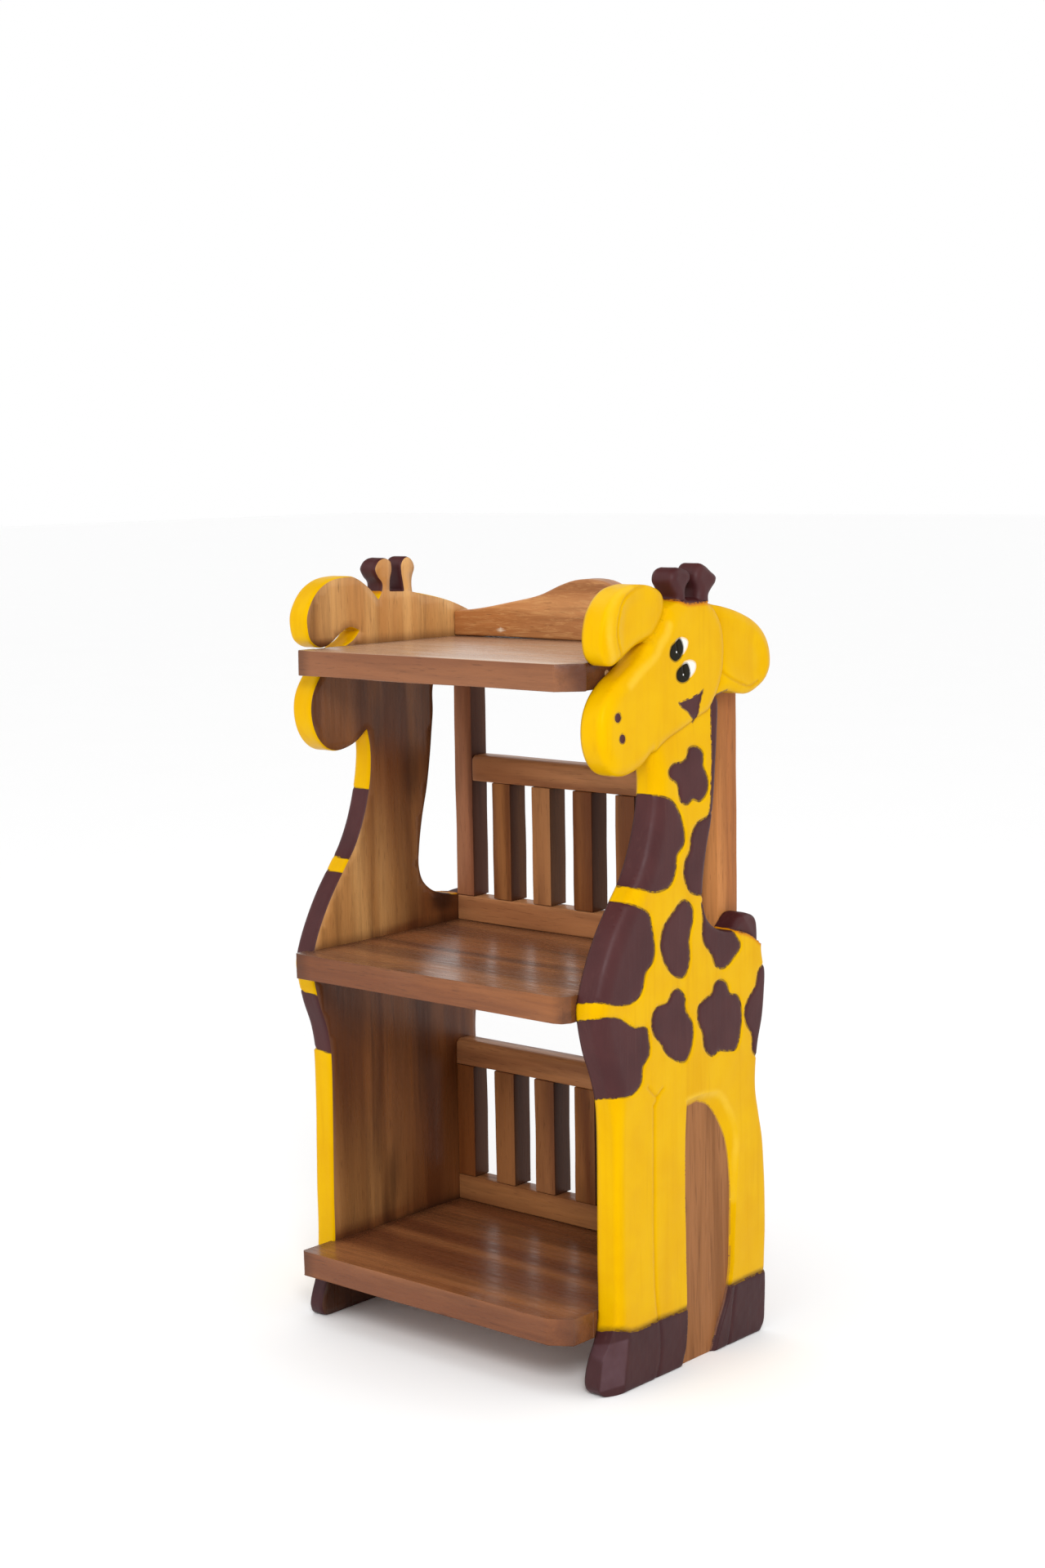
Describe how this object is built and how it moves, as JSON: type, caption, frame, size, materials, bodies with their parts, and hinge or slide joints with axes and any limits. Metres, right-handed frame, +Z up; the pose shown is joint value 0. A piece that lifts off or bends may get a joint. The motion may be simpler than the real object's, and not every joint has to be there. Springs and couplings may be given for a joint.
{
  "type": "bookshelf",
  "caption": "Children's wooden bookshelf whose two side panels are carved and painted giraffes, with open bays, slatted low back frames and a raised crest rail.",
  "frame": {"origin": "floor level, at the middle of the width and of the depth", "axes": "+Z up, +X to the right seen from the front, -Y towards the open front; the giraffes look towards -Y"},
  "size_m": [0.442, 0.33, 0.8482],
  "materials": {
    "painted_panel": "hand-brushed semi-gloss paint, yellow with purple-brown spots, over a clear-lacquered inner face",
    "shelf_wood": "clear satin lacquer over brown-stained hardwood",
    "frame_wood": "clear satin lacquer over dark-stained hardwood",
    "crest_wood": "clear satin lacquer, roughly carved",
    "dowel_wood": "bare turned wood"
  },
  "bodies": {
    "root": {"left_side_panel": "painted_panel", "right_side_panel": "painted_panel", "top_shelf": "shelf_wood", "middle_shelf": "shelf_wood", "bottom_shelf": "shelf_wood", "crest_rail": "crest_wood", "upper_left_post": "frame_wood", "upper_right_post": "frame_wood", "upper_top_rail": "frame_wood", "upper_bottom_rail": "frame_wood", "upper_slat_1": "frame_wood", "upper_slat_2": "frame_wood", "upper_slat_3": "frame_wood", "upper_slat_4": "frame_wood", "upper_slat_5": "frame_wood", "lower_left_stile": "frame_wood", "lower_right_stile": "frame_wood", "lower_top_rail": "frame_wood", "lower_bottom_rail": "frame_wood", "lower_slat_1": "frame_wood", "lower_slat_2": "frame_wood", "lower_slat_3": "frame_wood", "lower_slat_4": "frame_wood", "lower_slat_5": "frame_wood", "shelf_dowels": "dowel_wood", "frame_dowels": "dowel_wood"}
  },
  "joints": []
}
